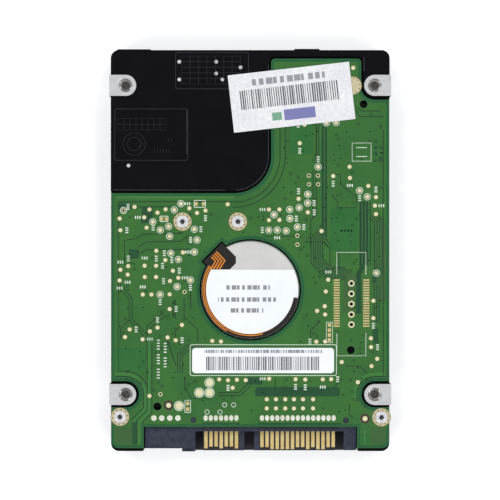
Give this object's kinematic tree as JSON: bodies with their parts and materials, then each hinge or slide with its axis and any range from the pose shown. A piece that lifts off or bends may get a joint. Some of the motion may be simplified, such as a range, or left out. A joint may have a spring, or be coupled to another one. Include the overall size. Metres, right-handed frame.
{
  "type": "hard disk drive",
  "caption": "Laptop-size hard disk drive, board side up: cast base, circuit board, edge connector, and working spindle, head arms and latch inside.",
  "frame": {"origin": "middle of the footprint, on the cover's outer face, which the drive rests on", "axes": "+X across the drive, +Y from the connector to the front edge, +Z from the cover to the circuit board"},
  "size_m": [0.0698, 0.1002, 0.0095],
  "materials": {
    "cast_black": "satin black coat on die cast aluminium, bare on the machined lugs",
    "cover_sheet": "brushed sheet",
    "seal_rubber": "matte",
    "screw_steel": "zinc plated",
    "label_paper": "smooth printed paper",
    "filter_felt": "white felt",
    "board_green": "solder mask over glass fibre",
    "chip_black": "moulded epoxy",
    "part_ceramic": "ceramic body with tinned ends",
    "foam_grey": "soft foam sheet",
    "connector_plastic": "glass filled plastic",
    "contact_gold": "gold flash",
    "solder_tin": "tin solder",
    "header_plastic": "natural",
    "flex_film": "polyimide film with copper tracks",
    "amber_film": "bare polyimide film",
    "plate_steel": "satin",
    "bearing_bronze": "turned",
    "core_steel": "laminated",
    "winding_copper": "enamelled copper wire",
    "turned_aluminium": "fine turned",
    "hard_steel": "ground",
    "magnet_dark": "bonded magnet",
    "magnet_nickel": "nickel plated",
    "disk_mirror": "polished",
    "arm_aluminium": "milled",
    "mould_black": "overmoulded plastic",
    "spring_steel": "thin sheet",
    "slider_ceramic": "polished",
    "ramp_plastic": "acetal"
  },
  "bodies": {
    "base": {"base_casting": "cast_black", "top_cover": "cover_sheet", "cover_gasket": "seal_rubber", "cover_screws": "screw_steel", "drive_label": "label_paper", "breather_filter": "filter_felt", "recirculation_filter": "filter_felt", "desiccant_pouch": "filter_felt", "circuit_board": "board_green", "board_screws": "screw_steel", "board_label": "label_paper", "asset_label": "label_paper", "controller_chip": "chip_black", "cache_chip": "chip_black", "motor_driver_chip": "chip_black", "flash_chip": "chip_black", "board_passives": "part_ceramic", "board_insulator": "foam_grey", "connector_housing": "connector_plastic", "signal_contacts": "contact_gold", "power_contacts": "contact_gold", "jumper_pins": "contact_gold", "solder_joints": "solder_tin", "head_connector": "header_plastic", "flex_bracket": "spring_steel", "inner_screws": "screw_steel", "head_flex": "amber_film", "motor_plate": "plate_steel", "motor_label": "label_paper", "motor_flex": "flex_film", "bearing_sleeve": "bearing_bronze", "thrust_cap": "hard_steel", "stator_core": "core_steel", "stator_coils": "winding_copper", "pivot_shaft": "hard_steel", "cover_side_yoke": "plate_steel", "base_side_yoke": "plate_steel", "coil_magnets": "magnet_nickel", "crash_stops": "seal_rubber", "yoke_screws": "screw_steel", "load_ramp": "ramp_plastic", "latch_pin": "hard_steel"},
    "spindle": {"spindle_hub": "turned_aluminium", "spindle_shaft": "hard_steel", "rotor_magnet": "magnet_dark", "cover_side_disk": "disk_mirror", "base_side_disk": "disk_mirror", "spacer_ring": "turned_aluminium", "disk_clamp": "plate_steel", "clamp_screw": "screw_steel"},
    "actuator": {"pivot_sleeve": "turned_aluminium", "pivot_balls": "hard_steel", "pivot_races": "hard_steel", "head_arms": "arm_aluminium", "voice_coil": "winding_copper", "coil_overmould": "mould_black", "suspensions": "spring_steel", "head_sliders": "slider_ceramic", "preamp_chip": "chip_black"},
    "latch": {"latch_lever": "ramp_plastic"}
  },
  "joints": [
    {"name": "spindle_spin", "type": "hinge", "parent": "base", "child": "spindle", "pos_m": [0, -0.0097, 0.004], "axis": [0, 0, 1], "continuous": true},
    {"name": "actuator_swing", "type": "hinge", "parent": "base", "child": "actuator", "pos_m": [-0.013, 0.0265, 0.004], "axis": [0, 0, 1], "range_deg": [-34.5, 0], "deforming": ["head_flex"]},
    {"name": "latch_swing", "type": "hinge", "parent": "base", "child": "latch", "pos_m": [-0.029, 0.0172, 0.0041], "axis": [0, 0, 1], "range_deg": [-5, 0]}
  ]
}
